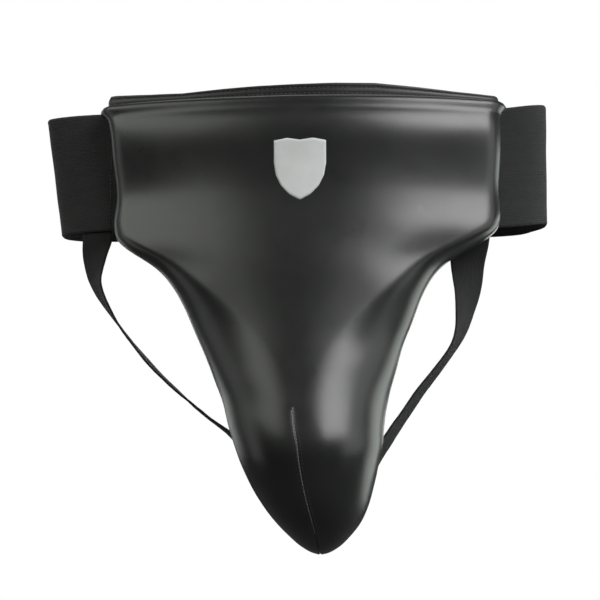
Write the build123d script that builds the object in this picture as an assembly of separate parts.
from build123d import *
import os
import numpy as np

os.makedirs("parts", exist_ok=True)

# Groin protector: a padded leather tongue with a hard cup inside it, a wide elastic waist
# belt that closes behind the hips with hook-and-loop, and two elastic leg straps.
# Millimetres. +Z up, the front of the pad faces -Y.
# Left and right are as seen from the front: left is -X, right is +X.
# Origin: on the centre plane of the waist pad, level with the lowest point of the cup,
# at the depth of the middle of the crotch curve.

# ---------------------------------------------------------------- driving dimensions
# Layers of the tongue, as depths below the outer skin
LEATHER = 1.4            # thickness of the outer leather
LINING = 1.2             # thickness of the inner lining
FOAM_OUT = (2.1, 6.5)    # outer foam sheet
INSERT = (6.8, 9.8)      # belly foam insert and hard cup
FOAM_IN = (10.1, 15.6)   # inner foam sheet
TOTAL = 17.0             # outer skin to lining

# v runs along the tongue, 0 at the top to 1 at the crotch; u runs across it, -1 to 1
BELLY_V = (0.03, 0.40)
BELLY_U = 0.86
CUP_V = (0.455, 0.890)
CUP_U = 0.76
GASKET_OUT = (0.024, 0.07)     # gasket's outer edge past the cup, in v and u
GASKET_IN = (0.004, 0.008)     # gasket's inner edge past the cup
CUP_HOLE_R = 3.5
CUP_HOLES = [(0.60, -0.28), (0.60, 0), (0.60, 0.28), (0.67, -0.20), (0.67, 0.20),
             (0.74, -0.26), (0.74, 0), (0.74, 0.26)]   # (v, u)

RIM = 3.4                # how far the side binding stands behind the layer edges
FLANGE_H = 9.0           # sewn flange along the top edge
FLANGE_T = 3.6
FLANGE_DEPTH = 1.2       # its front face below the outer skin
FLANGE_LIFT = 0.4        # its lower edge above the tongue
DART_V = (0.575, 0.925)  # seam down the front of the cup
DART_TAPE_U = 0.045      # half width of its tape
DART_STITCH_U = 0.014    # each stitch row from the seam
STITCH_R = 0.42          # sewing thread radius
STITCH_LIFT = 0.08       # thread above the surface

BELT_H = 97.0            # waist elastic, nominal 4 in webbing
BELT_T = 1.7
BELT_Z = 300.5           # its centre height
BELT_LOW = BELT_Z - BELT_H / 2
BELT_TOP = BELT_Z + BELT_H / 2
FOLD_L = (-207.0, 80.0)  # where the belt turns back on itself, left (x, y)
FOLD_R = (195.0, 80.0)   # and right
REAR_Y = 122.0           # depth of the right belt end
SLANT_L = 13.0           # how much further out the top of the left fold stands than its bottom
RISE_R = 7.0             # how much the belt rises towards the right fold
SEAM_X = 152.0           # where the belt leaves the pad's side edge
PATCH_X = (137.5, 150.5)
PATCH_T = 1.2

LOOP_X = (-62, 13)       # rear closure: spans in x, and in depth from front to rear
LOOP_Y = (118.75, 120.0)
HOOK_Y = (120.3, 121.5)
TAB_X = (-50, 30)
TAB_Y = (121.7, 124.2)

STRAP_W = 32.0           # leg strap elastic, nominal 1 1/4 in webbing
STRAP_T = 1.6
STRAP_HEAD = 46.0        # length of strap fixed at the belt
STRAP_FOOT = 24.0        # and at the crotch
STRAP_OPEN = 5.0         # length left open between a fixed end and the swinging strap
CROTCH_X = 17.0          # centre of the crotch patch
CROTCH_Y = 37.2          # depth of the strap feet
PATCH_Y = (CROTCH_Y + 1.3, CROTCH_Y + 2.9)

UP = np.array([0, 0, 1.0])
REARWARD = (0, 1, 0)
SIDES = ((-1, "left"), (1, "right"))

# ---------------------------------------------------------------- tongue tables
# One row per station along the centre line of the tongue, top to crotch:
# y and z of the outer skin on the centre line, half width, sagitta of the cross-section,
# edge rounding in width and in depth, straight side wall, tilt of the depth direction.
ROWS = np.array([
    (3, 351, 151, 34, 8, 7, 3, 0),
    (-4.2, 348.5, 151, 34, 8.5, 8, 6, 0),
    (-10.5, 342, 151, 34, 9, 8.5, 10.5, 0),
    (-14.2, 332, 151, 34, 9.5, 9, 12, 0),
    (-15.6, 308, 151, 34, 9.5, 9, 12, 0),
    (-17.5, 272, 150.5, 34, 10, 9, 10, 0),
    (-21.5, 246, 149, 29, 14, 12, 10.5, 0),
    (-27, 224, 122, 20, 21, 17, 11, 0),
    (-31.5, 200, 97, 12, 32, 25, 14, 1),
    (-38.5, 170, 83, 10, 51, 33, 9, 4),
    (-49, 140, 72, 6, 61, 46, 5, 8),
    (-60.5, 110, 65, 1, 63, 65.5, 0, 14),
    (-67, 80, 60, 0, 59, 75, 0, 24),
    (-63.5, 52, 54, 2, 53, 72, 0, 36),
    (-53, 28, 47, 7, 42, 60, 0, 48),
    (-37, 11, 41, 16, 30, 39, 0, 60),
    (-16, 0, 35, 27, 18, 22, 0, 72),
    (5, 4.5, 30, 17, 13, 17, 0, 88),
    (21, 14, 26.5, 9, 10, 12, 0, 104),
    (32, 27, 24, 4, 8, 8, 2, 118)], float)
# height, width factor, sideways lean of the soft tongue
OUTLINE = np.array([
    (0, 0.830, 18.4), (6, 0.865, 18.4), (12, 0.940, 18.0), (16, 0.995, 17.8),
    (20, 1.040, 17.6), (24, 1.066, 17.2), (28, 1.080, 16.6), (32, 1.090, 16.0),
    (40, 1.105, 14.8), (50, 1.119, 13.0), (60, 1.124, 12.0), (70, 1.112, 10.7),
    (80, 1.098, 10.3), (90, 1.067, 8.7), (100, 1.039, 7.2), (110, 1.015, 6.4),
    (120, 1.015, 5.4), (130, 1.027, 4.4), (140, 1.030, 4.1), (160, 1.014, 2.3),
    (180, 1.015, 2.1), (190, 1.012, 1.5), (200, 0.999, 0.9), (208, 0.979, 0.3),
    (214, 0.962, -0.1), (220, 0.954, -0.6), (226, 0.960, -1.1), (232, 0.979, -1.1),
    (240, 0.995, 0.45), (250, 0.993, 4.3), (270, 1.004, 5.0), (300, 1.014, 4.0),
    (325, 1.021, 3.1), (340, 1.033, 1.3), (355, 1.048, -1.0)])
# across the top edge: x, rise of the top line
TOPLINE = np.array([
    (-152, 0.9), (-124, -0.7), (-94, -1.7), (-63, -0.2), (-32, 1.2), (-1, 2.0),
    (30, 2.8), (61, 2.8), (92, 0.6), (122, -1.8), (151, -3.2)])
# padding deeper than SCALED thins out towards both ends: v, scale of the thickness
SCALED = 2.1
THINNING = np.array([(0, 0.42), (0.012, 0.52), (0.03, 0.70), (0.06, 0.90), (0.10, 1),
                     (0.84, 1), (0.93, 0.82), (1, 0.62)])
# seam of the cup: v, u
DART = np.array([(0.575, -0.05), (0.75, -0.03), (0.90, 0.0)])
# positions across half the pad, closer together over the rounded edges
ACROSS = np.array([0, .125, .25, .375, .48, .55, .61, .67, .73, .78, .82, .85, .88, .91,
                   .94, .97, 1.0])


# ---------------------------------------------------------------- maths
def spline(knots, values):
    """Natural cubic spline through the rows of values."""
    knots = np.asarray(knots, float)
    values = np.asarray(values, float)
    n = len(knots)
    step = np.diff(knots)
    matrix = np.zeros((n, n))
    right = np.zeros((n, values.shape[1]))
    matrix[0, 0] = matrix[-1, -1] = 1
    for i in range(1, n - 1):
        matrix[i, i - 1:i + 2] = step[i - 1], 2 * (step[i - 1] + step[i]), step[i]
        right[i] = 6 * ((values[i + 1] - values[i]) / step[i]
                        - (values[i] - values[i - 1]) / step[i - 1])
    bend = np.linalg.solve(matrix, right)

    def evaluate(x):
        i = np.clip(np.searchsorted(knots, x) - 1, 0, n - 2)
        after = (knots[i + 1] - x)[:, None]
        before = (x - knots[i])[:, None]
        h = step[i][:, None]
        return (bend[i] * after**3 / (6 * h) + bend[i + 1] * before**3 / (6 * h)
                + (values[i] / h - bend[i] * h / 6) * after
                + (values[i + 1] / h - bend[i + 1] * h / 6) * before)
    return evaluate


def run_length(points):
    """Distance along the points, from the first one."""
    return np.concatenate([[0], np.cumsum(np.linalg.norm(np.diff(points, axis=0), axis=1))])


def smooth(t):
    t = np.clip(t, 0, 1)
    return t * t * (3 - 2 * t)


def unit(a):
    return a / np.linalg.norm(a, axis=-1, keepdims=True) if False else \
        a / np.linalg.norm(a, axis=-1, keepdims=True)


# ---------------------------------------------------------------- tongue surface
row_length = run_length(ROWS[:, :2])
ROW_V = row_length / row_length[-1]
row_at = spline(ROW_V, ROWS)


def half_section(half_width, sagitta, round_w, round_d, wall, us):
    """x and depth at each u of a cross-section: shallow arch, rounded edge, side wall."""
    round_w = min(round_w, half_width * 0.999)
    flat = half_width - round_w
    angle = np.linspace(0, np.pi / 2, 60)[1:]
    x = np.concatenate([np.linspace(0, flat, 60), flat + round_w * np.sin(angle)])
    d = np.concatenate([np.zeros(60), round_d * (1 - np.cos(angle))])
    if wall > 0.01:
        x = np.append(x, half_width)
        d = np.append(d, round_d + wall)
    d = d + sagitta * (x / half_width) ** 2
    s = run_length(np.column_stack([x, d]))
    s /= s[-1]
    return np.interp(np.abs(us), s, x) * np.sign(us), np.interp(np.abs(us), s, d)


def pad(vs, us, t=0.0, fixed=False, extra=0.0):
    """Grid of points at layer depth t, then moved extra along the depth direction.
    The depth thins out towards both ends unless fixed."""
    vs = np.asarray(vs, float)
    us = np.asarray(us, float)
    out = np.zeros((len(vs), len(us), 3))
    for i, (y, z, half_width, sagitta, round_w, round_d, wall, tilt) in enumerate(row_at(vs)):
        deep = t
        if not fixed and t > SCALED:
            deep = SCALED + (t - SCALED) * np.interp(vs[i], *THINNING.T)
        inner_d = max(round_d - deep, 2.0)
        if deep > round_d - 2:
            wall = max(wall - (deep - (round_d - inner_d)), 0)
        x, d = half_section(half_width - deep, sagitta, max(round_w - deep, 2.0), inner_d,
                            wall, us)
        d = d + deep + extra
        out[i, :, 0] = x
        out[i, :, 1] = y + np.cos(np.radians(tilt)) * d
        out[i, :, 2] = z + np.sin(np.radians(tilt)) * d
    height, factor, lean = OUTLINE.T
    z = out[..., 2]
    out[..., 0] = out[..., 0] * np.interp(z, height, factor) + np.interp(z, height, lean)
    return out


def pad_point(v, u, t, fixed=False):
    return pad([v], [u], t, fixed)[0, 0]


# stations shared by every layer, so that the layers nest
cup_stations = [v + side * past for side, v in zip((-1, 1), CUP_V)
                for past in (0, GASKET_IN[0], GASKET_OUT[0])]
STATIONS = np.unique(np.round(np.concatenate([
    ROW_V[:5], np.linspace(ROW_V[4], 1.0, 25), cup_stations]), 5))
STATIONS = STATIONS[np.concatenate([[True], np.diff(STATIONS) > 0.0015])]


def stations(v0, v1):
    """Shared stations from the one nearest v0 to the one nearest v1."""
    first, last = (np.argmin(np.abs(STATIONS - v)) for v in (v0, v1))
    return STATIONS[first:last + 1]


# ---------------------------------------------------------------- solid builders
def curve(points):
    points = [Vector(*p) for p in points]
    return Edge.make_line(*points) if len(points) == 2 else Edge.make_spline(points)


def between(grid0, grid1):
    """Closed solid between two sheets of points with the same layout, station by station."""
    wires = [Wire([curve(a), curve([a[-1], b[-1]]), curve(b[::-1]), curve([b[0], a[0]])])
             for a, b in zip(grid0, grid1)]
    return Solid.make_loft(wires, True)


def slab(t0, t1, v=(0, 1), half_u=1, fixed=False):
    """Layer of the tongue between two depths."""
    vs = stations(*v)
    us = np.concatenate([-ACROSS[:0:-1], ACROSS])
    us = np.concatenate([[-half_u], us[np.abs(us) < half_u - 0.012], [half_u]])
    return between(pad(vs, us, t0, fixed), pad(vs, us, t1, fixed))


def ribbon(centre, across, width):
    """Flat strap along the centre points, its width along the directions across."""
    along = unit(np.gradient(centre, axis=0))
    across = unit(across - (across * along).sum(1)[:, None] * along)
    normal = np.cross(along, across)[:, None, :]
    grid = np.stack([centre - width / 2 * across, centre + width / 2 * across], 1)
    return between(grid - STRAP_T / 2 * normal, grid + STRAP_T / 2 * normal)


def sheet_normals(grid):
    """One normal per station of a sheet, averaged over its height."""
    normals = unit(np.cross(np.gradient(grid, axis=0), np.gradient(grid, axis=1)))
    return unit(normals.mean(1, keepdims=True))


def sheet_grid(paths):
    """Grid by station, then height, from one path per height."""
    return np.array(paths).transpose(1, 0, 2)


def sheet(grid, thickness):
    """Solid centred on the sheet, straight from its lowest to its highest path."""
    offset = thickness / 2 * sheet_normals(grid)
    ends = grid[:, [0, -1]]
    return between(ends - offset, ends + offset)


def thread(points, outward):
    """Sewing thread laid along points on a surface."""
    points = np.asarray(points, float)
    outward = unit(np.broadcast_to(np.asarray(outward, float), points.shape))
    side = STITCH_R * unit(np.cross(unit(np.gradient(points, axis=0)), outward))
    low = points + STITCH_LIFT * outward
    high = points + (STITCH_LIFT + 1.3 * STITCH_R) * outward
    return between(np.stack([low - side, low + side], 1),
                   np.stack([high - 0.6 * side, high + 0.6 * side], 1))


def straight_thread(a, b):
    """Straight thread on a rear face."""
    a, b = np.array(a, float), np.array(b, float)
    return thread([a, (a + b) / 2, b], REARWARD)


def box_stitch(x, y, z, width, height):
    """Box of stitching with one diagonal, centred on (x, y, z)."""
    corners = [np.array([x + i * width / 2, y, z + k * height / 2])
               for i, k in ((-1, -1), (1, -1), (1, 1), (-1, 1))]
    threads = []
    for i, k in ((0, 1), (1, 2), (2, 3), (3, 0), (0, 2)):
        trim = 1.0 * unit(corners[k] - corners[i])
        threads.append(straight_thread(corners[i] + trim, corners[k] - trim))
    return threads


def frame_stitch(x0, x1, y, z0, z1):
    """Rectangle of stitching, open at the corners."""
    return ([straight_thread((x, y, z0 + 1), (x, y, z1 - 1)) for x in (x0, x1)]
            + [straight_thread((x0 + 1.5, y, z), (x1 - 1.5, y, z)) for z in (z0, z1)])


def block(x0, x1, y0, y1, z0, z1, corner_r=0.0):
    box = Solid.make_box(x1 - x0, y1 - y0, z1 - z0, Plane(origin=(x0, y0, z0)))
    if corner_r:
        box = box.fillet(corner_r, box.edges().filter_by(Axis.Y))
    return box


def save(name, *shapes):
    solids = [s for shape in shapes for s in shape.solids()]
    export_step(solids[0] if len(solids) == 1 else Compound(children=solids),
                f"parts/{name}.step")


# ---------------------------------------------------------------- layers of the tongue
save("front_cover", slab(0, LEATHER, fixed=True))
save("outer_foam", slab(*FOAM_OUT))
save("belly_foam", slab(*INSERT, BELLY_V, BELLY_U))
save("inner_foam", slab(*FOAM_IN))
save("back_lining", slab(TOTAL - LINING, TOTAL))


def cup_shell():
    shell = slab(*INSERT, CUP_V, CUP_U)
    for v, u in CUP_HOLES:
        start = Vector(*pad_point(v, u, INSERT[0] - 3))
        axis = Vector(*pad_point(v, u, INSERT[1] + 4)) - start
        shell = shell - Solid.make_cylinder(CUP_HOLE_R, axis.length,
                                            Plane(origin=start, z_dir=axis))
    return shell


def around_cup(proud, past):
    """Slab past the cup's outline by past (v, u), and past both its faces by proud."""
    return slab(INSERT[0] - proud, INSERT[1] + proud,
                (CUP_V[0] - past[0], CUP_V[1] + past[0]), CUP_U + past[1])


save("cup_shell", cup_shell())
save("cup_gasket", around_cup(0.1, GASKET_OUT) - around_cup(1.5, GASKET_IN))


# ---------------------------------------------------------------- edges of the tongue
def side_binding(sign):
    """Rolled binding that closes the layers along one side edge."""
    gap = 0.2
    bulge = np.sin(np.linspace(0, np.pi, 7)) ** 0.6
    flat = np.stack([pad(STATIONS, [sign], t, extra=gap)[:, 0] for t in (0, TOTAL)], 1)
    rolled = np.stack([pad(STATIONS, [sign], t, extra=gap + (RIM - gap) * k)[:, 0]
                       for t, k in zip(np.linspace(0, TOTAL, 7), bulge)], 1)
    return Solid.make_loft([Wire([curve(a), curve(b[::-1])]) for a, b in zip(flat, rolled)],
                           True)


for sign, side in SIDES:
    save(f"edge_binding_{side}", side_binding(sign))

# sewn flange along the top edge, with two rows of stitching on each face
flange_u = np.concatenate([np.linspace(-0.985, -0.90, 9), np.linspace(-0.88, 0.88, 29),
                           np.linspace(0.90, 0.985, 9)])
flange_front, flange_rear = (pad([0.0], flange_u, t, True)[0]
                             for t in (FLANGE_DEPTH, FLANGE_DEPTH + FLANGE_T))
flange_h = FLANGE_H + np.interp(flange_front[:, 0], *TOPLINE.T)[:, None]


def on_flange(face, fraction):
    """Points along a face of the flange, at a fraction of its height."""
    return face + (FLANGE_LIFT + fraction * flange_h) * UP


save("top_binding", between(*(np.stack([on_flange(face, 0), on_flange(face, 1)], 1)
                              for face in (flange_front, flange_rear))))
forward = unit(np.cross(np.gradient(flange_front, axis=0), UP))
save("top_stitching", *[thread(on_flange(face, fraction)[1:-1], outward[1:-1])
                        for face, outward in ((flange_front, forward), (flange_rear, -forward))
                        for fraction in (0.28, 0.68)])

# darted seam of the cup: tape behind the leather, stitching in front
dart_v = stations(*DART_V)


def beside_dart(du, t):
    """Points along the seam, moved across by du, at depth t."""
    return np.array([pad_point(v, u + du, t, True)
                     for v, u in zip(dart_v, np.interp(dart_v, *DART.T))])


save("dart_tape", between(*(np.stack([beside_dart(du, t)
                                      for du in (-DART_TAPE_U, 0, DART_TAPE_U)], 1)
                            for t in (LEATHER + 0.1, SCALED - 0.15))))
save("dart_stitching", *[thread(beside_dart(du, 0.0), beside_dart(du, -1.0) - beside_dart(du, 0.0))
                         for du in (-DART_STITCH_U, DART_STITCH_U)])


# ---------------------------------------------------------------- waist elastic
def seat_line(sign):
    """Base and slope of the line y(z) down the rear of a side binding, clear of it."""
    edge = pad(np.linspace(0.0, 0.45, 60), [sign], TOTAL / 2, extra=RIM)[:, 0]
    edge = edge[np.argsort(edge[:, 2])]
    z = np.linspace(BELT_LOW, BELT_TOP, 25)
    y = np.interp(z, edge[:, 2], edge[:, 1])
    slope = (y[-1] - y[0]) / (z[-1] - z[0])
    return np.max(y - slope * z) + 0.3, slope


SEAT_LINES = {sign: seat_line(sign) for sign, _ in SIDES}


def seat(z, sign):
    """Depth of the belt's front face on the side edge at height z."""
    base, slope = SEAT_LINES[sign]
    return base + slope * z


def side_path(sign, z):
    """Path of the belt from the pad's side edge out to its fold, at height z."""
    fold_x, fold_y = FOLD_L if sign < 0 else FOLD_R
    fold_x = abs(fold_x)
    if sign < 0:
        fold_x += SLANT_L * (z - BELT_Z) / BELT_H
    reach = fold_x - SEAM_X
    y = seat(BELT_Z, sign) + BELT_T / 2
    shift = seat(z, sign) - seat(BELT_Z, sign)
    # x outward, y, share of the side edge's slope
    points = [(SEAM_X - 15, y, 1), (SEAM_X, y, 1), (SEAM_X + 0.30 * reach, y + 4, 0.75),
              (SEAM_X + 0.62 * reach, y + 12, 0.4), (fold_x - 5, fold_y - 12, 0.1),
              (fold_x, fold_y, 0)]
    path = spline(range(6), [(sign * px, py + share * shift) for px, py, share in points])
    s = np.concatenate([[0, 0.5, 1.0], np.linspace(1.25, 4.85, 11)])
    rise = RISE_R * smooth((s - 1) / 4) if sign > 0 else 0 * s
    return np.column_stack([path(s), z + rise])


def rear_path(points, z):
    """Path of the belt from its fold to its rear end, at height z."""
    n = 20
    path = spline(range(len(points)), points)(np.linspace(0, len(points) - 1, n))
    fade = 1 - smooth(np.linspace(0, 1.25, n))
    if points[0][0] < 0:
        path[:, 0] -= SLANT_L * (z - BELT_Z) / BELT_H * fade
        return np.column_stack([path, np.full(n, z)])
    return np.column_stack([path, z + RISE_R * fade])


# plan points (x, y) of the rear belts; the first ones follow the fold
REAR_L = [(FOLD_L[0] + dx, FOLD_L[1] + dy) for dx, dy in
          ((0, 3.2), (2, 18), (12, 29), (31, 34))] + [(-120, 116.5), (-60, 117.2), (16, 117.5)]
REAR_R = [(FOLD_R[0] + dx, FOLD_R[1] + dy) for dx, dy in
          ((0, 3.2), (-2, 19), (-12, 31), (-30, 37))] + [(110, 120), (70, 121.5), (37, REAR_Y)]

belt_heights = np.linspace(BELT_LOW, BELT_TOP, 5)
side_grids = {}
for (sign, side), rear in zip(SIDES, (REAR_L, REAR_R)):
    side_grids[side] = sheet_grid([side_path(sign, z) for z in belt_heights])
    save(f"belt_side_{side}", sheet(side_grids[side], BELT_T))
    save(f"belt_rear_{side}", sheet(sheet_grid([rear_path(rear, z) for z in belt_heights]),
                                    BELT_T))

# rear closure: soft loop panel on the left end, hook panel on the right end's pull tab
save("loop_panel", block(*LOOP_X, *LOOP_Y, BELT_LOW + 4, BELT_TOP - 4, 4))
save("hook_panel", block(-43, 7, *HOOK_Y, BELT_LOW + 6, BELT_TOP - 6, 4))
save("closure_tab", block(*TAB_X, *TAB_Y, BELT_LOW + 1, BELT_TOP - 1, 9))
save("belt_end_trim", block(16.4, 19.4, 115.9, 119.2, BELT_LOW, BELT_TOP))
save("tab_pull", block(-62, -50.6, 122.0, 124.0, BELT_Z - 16, BELT_Z + 16, 4))
save("loop_stitching", *frame_stitch(LOOP_X[0] + 3, LOOP_X[1] - 3, LOOP_Y[1],
                                     BELT_LOW + 5.2, BELT_TOP - 5.2))
save("tab_stitching", *frame_stitch(TAB_X[0] + 4, TAB_X[1] - 4, TAB_Y[1],
                                    BELT_LOW + 6, BELT_TOP - 6))


# leather patch over the sewn end of each belt side, behind the pad's edge
def belt_patch(sign):
    return sheet(sheet_grid([
        [(sign * x, seat(z, sign) + BELT_T + 0.2 + PATCH_T / 2, z)
         for x in np.linspace(*PATCH_X, 4)]
        for z in np.linspace(BELT_LOW + 4, BELT_TOP - 4, 5)]), PATCH_T)


for sign, side in SIDES:
    save(f"belt_patch_{side}", belt_patch(sign))
save("belt_seam_stitching", *[
    thread([(sign * x, seat(z, sign) + BELT_T + 1.5, z)
            for z in np.linspace(BELT_LOW + 7, BELT_TOP - 7, 7)], REARWARD)
    for sign, _ in SIDES for x in (140, 148)])

# ---------------------------------------------------------------- leg straps
# centre line of each strap from the belt down to the crotch: x, y, z, twist in degrees.
# The first two rows lie behind the belt; their y of 0 is replaced below.
STRAP_L = np.array([
    (-166.5, 0, 284, 26), (-166.3, 0, 262, 26), (-166.1, 47, 244.8, 31),
    (-167.2, 46, 231, 44), (-166.7, 46.5, 214.8, 61), (-160.4, 47, 198.5, 72),
    (-150.9, 49, 182.3, 80), (-139, 50, 166.1, 85), (-125.4, 50, 149.9, 88),
    (-109.7, 49, 133.6, 88), (-91.7, 47, 117.5, 84), (-71.8, 44.5, 101.5, 80),
    (-58.7, 42.8, 92, 78), (-43, 41, 77.5, 60), (-29, 38.6, 65, 24),
    (-15, 37.2, 53, 0), (-2, 37.2, 42, 0), (8, 37.2, 33, 0)])
STRAP_R = np.array([
    (133, 0, 284, 6), (133, 0, 262, 8), (133.1, 41.5, 244.5, 18),
    (131, 43, 226, 31), (130.8, 45, 207, 46), (128.8, 47, 188.8, 61),
    (125.5, 49, 172.9, 73), (117.9, 50, 157, 80), (106.3, 49, 141, 80),
    (94, 47, 125.1, 78), (83, 45, 109.3, 78), (72.4, 42.8, 93.5, 76),
    (64.5, 41.3, 81.8, 74), (55.5, 39.8, 71, 60), (46, 38.2, 60.5, 30),
    (38.5, 37.2, 51, 0), (32.5, 37.2, 42, 0), (27, 37.2, 33, 0)])
HEAD_GAP_L = 2.4         # strap centre line's front face behind the belt, left
HEAD_GAP_R = 2.8         # and right


def behind_left_belt(x, z, gap):
    """Point behind the left belt side at the given x, gap clear of its rear face."""
    grid = side_grids["left"]
    level = np.interp(z, belt_heights, range(len(belt_heights)))
    i = int(np.clip(level, 0, len(belt_heights) - 2))
    path = grid[:, i] * (1 - (level - i)) + grid[:, i + 1] * (level - i)
    normals = sheet_normals(grid)[:, 0]
    order = np.argsort(path[:, 0])
    point, normal = (np.array([np.interp(x, path[order, 0], values[order, k])
                               for k in range(3)]) for values in (path, normals))
    return point + unit(normal) * (BELT_T / 2 + gap)


for k in (0, 1):
    STRAP_L[k, :2] = behind_left_belt(STRAP_L[k, 0], STRAP_L[k, 2],
                                      HEAD_GAP_L + STRAP_T / 2)[:2]
    STRAP_R[k, 1] = seat(STRAP_R[k, 2], 1) + BELT_T + HEAD_GAP_R + STRAP_T / 2


def left_head():
    """Strap end that lies in the curve of the left belt side, clear of the patch."""
    low, high, extend = BELT_LOW + 1, BELT_LOW + 38, 8.0
    front, rear = [], []
    for x in np.linspace(-183.5, -152.0, 8):
        a, b = (behind_left_belt(x, z, 0.0) for z in (low, high))
        a = a - (b - a) * extend / (high - low)
        normal = unit(behind_left_belt(x, 270, 1.0) - behind_left_belt(x, 270, 0.0))
        line = np.array([a, b])
        front.append(line + 0.5 * normal)
        rear.append(line + (0.5 + STRAP_T) * normal)
    return between(front, rear)


for (sign, side), table in zip(SIDES, (STRAP_L, STRAP_R)):
    s = run_length(table[:, :3])
    travel = np.linspace(0, s[-1], 64)
    x, y, z, twist = spline(s, table)(travel).T
    centre = np.column_stack([x, y, z])
    twist = np.radians(twist)
    across = np.column_stack([np.cos(twist), sign * np.sin(twist), 0 * twist])
    head = travel <= STRAP_HEAD
    foot = travel >= s[-1] - STRAP_FOOT
    swing = ((travel > STRAP_HEAD + STRAP_OPEN)
             & (travel < s[-1] - STRAP_FOOT - STRAP_OPEN))
    save(f"strap_head_{side}",
         left_head() if side == "left" else ribbon(centre[head], across[head], STRAP_W))
    save(f"strap_foot_{side}", ribbon(centre[foot], across[foot], STRAP_W * 0.8))
    save(f"leg_strap_{side}", ribbon(centre[swing], across[swing], STRAP_W))

# ---------------------------------------------------------------- crotch
# binding over the crotch end, from the outer skin to the lining
end_skin, end_lining = (pad([1.0], np.linspace(-1, 1, 9), t)[0] for t in (0.0, TOTAL))
end_dir = unit(pad_point(1.0, 0, 0) - pad_point(0.985, 0, 0))
save("crotch_binding", between(*(np.stack([end_skin + out * end_dir,
                                           end_lining + out * end_dir], 1)
                                 for out in (0.3, 2.8))))
# patch that both straps are sewn under
save("crotch_tab", block(CROTCH_X - 30, CROTCH_X + 30, *PATCH_Y, 22, 47, 7))
save("crotch_bartacks", *[bar for dx in (-15, 15)
                          for bar in box_stitch(CROTCH_X + dx, PATCH_Y[1], 35, 18, 16)])
